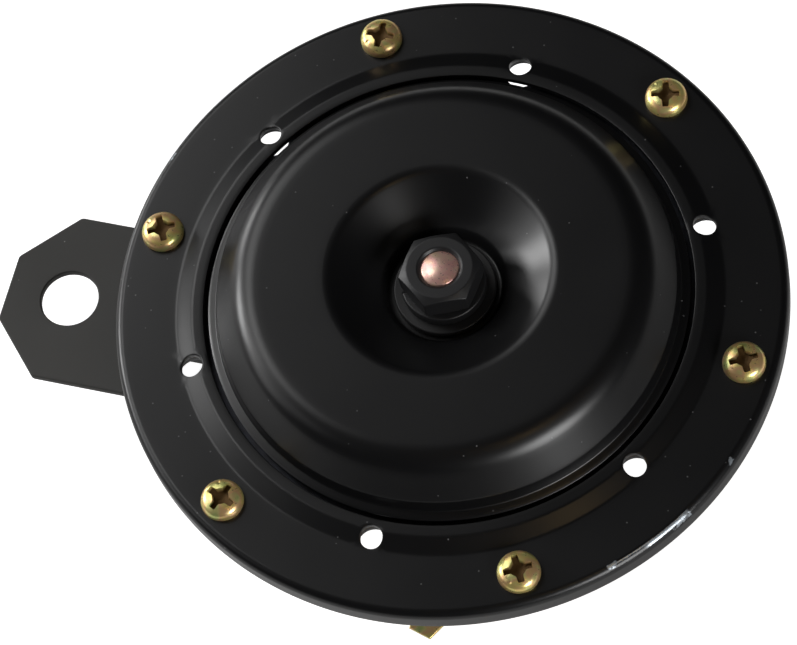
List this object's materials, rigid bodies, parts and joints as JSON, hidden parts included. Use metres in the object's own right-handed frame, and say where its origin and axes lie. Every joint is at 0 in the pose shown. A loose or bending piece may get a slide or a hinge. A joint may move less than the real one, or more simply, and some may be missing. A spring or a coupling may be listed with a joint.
{
  "type": "car horn",
  "caption": "Round black vehicle disc horn with a domed tone disc inside a screwed rim ring and a flat mounting bracket at its back.",
  "frame": {"origin": "centre of the circle of six through holes, on the plane of the rim ring's flat front face", "axes": "+Z is the horn's axis, out of its front; the mounting bracket's tab points along -X"},
  "size_m": [0.1515, 0.12, 0.0593],
  "materials": {
    "gloss_black_paint": "semi-gloss black stoved paint on pressed steel",
    "satin_black_paint": "satin black paint",
    "matt_black_paint": "matt dark grey-black paint on a flat steel strip",
    "yellow_zinc": "yellow chromated zinc plating",
    "bright_steel": "bare steel, ground or turned",
    "spring_steel": "blued spring steel sheet",
    "gasket_board": "oiled gasket board",
    "nylon": "natural nylon moulding",
    "enamelled_copper": "enamelled copper wire",
    "phenolic": "brown phenolic board",
    "contact_metal": "tungsten contact",
    "tinned_brass": "brass strip",
    "wire_insulation": "red wire insulation",
    "can_aluminium": "drawn aluminium can"
  },
  "bodies": {
    "horn_body": {"adjuster_bush": "bright_steel", "adjuster_locknut": "yellow_zinc", "adjusting_screw": "yellow_zinc", "blade_terminal_1": "yellow_zinc", "blade_terminal_2": "yellow_zinc", "bracket_nut": "yellow_zinc", "bracket_spring_washer": "yellow_zinc", "bracket_washer": "yellow_zinc", "breaker_clamp": "bright_steel", "breaker_screws": "bright_steel", "breaker_support": "yellow_zinc", "clamp_ring": "gloss_black_paint", "coil_bobbin": "nylon", "coil_end_lead": "wire_insulation", "coil_start_lead": "wire_insulation", "coil_winding": "enamelled_copper", "condenser": "can_aluminium", "condenser_clip": "bright_steel", "condenser_lead": "wire_insulation", "condenser_rivet": "bright_steel", "contact_lead": "wire_insulation", "diaphragm": "spring_steel", "fixed_contact": "contact_metal", "fixed_contact_arm": "tinned_brass", "front_gasket": "gasket_board", "housing": "satin_black_paint", "inner_insulator": "phenolic", "lower_insulator": "phenolic", "magnet_yoke": "bright_steel", "middle_insulator": "phenolic", "mounting_bracket": "matt_black_paint", "moving_contact": "contact_metal", "moving_contact_arm": "spring_steel", "pole_core": "yellow_zinc", "rear_gasket": "gasket_board", "rim_nuts": "yellow_zinc", "rim_screws": "yellow_zinc", "support_rivets": "bright_steel", "terminal_board": "phenolic", "terminal_lug_1": "tinned_brass", "terminal_lug_2": "tinned_brass", "terminal_rivet_1": "tinned_brass", "terminal_rivet_2": "tinned_brass", "upper_insulator": "phenolic"},
    "vibrator": {"tone_disc": "gloss_black_paint", "disc_spacer": "bright_steel", "disc_washer": "satin_black_paint", "disc_spring_washer": "satin_black_paint", "disc_nut": "satin_black_paint", "armature": "bright_steel", "armature_stud": "yellow_zinc", "push_pin": "nylon"}
  },
  "joints": [
    {"name": "diaphragm_stroke", "type": "slide", "parent": "horn_body", "child": "vibrator", "axis": [0, 0, 1], "range_m": [-0.0004, 0.0004], "stiffness_N_per_m": 20000, "deforming": ["diaphragm", "moving_contact_arm"]}
  ]
}
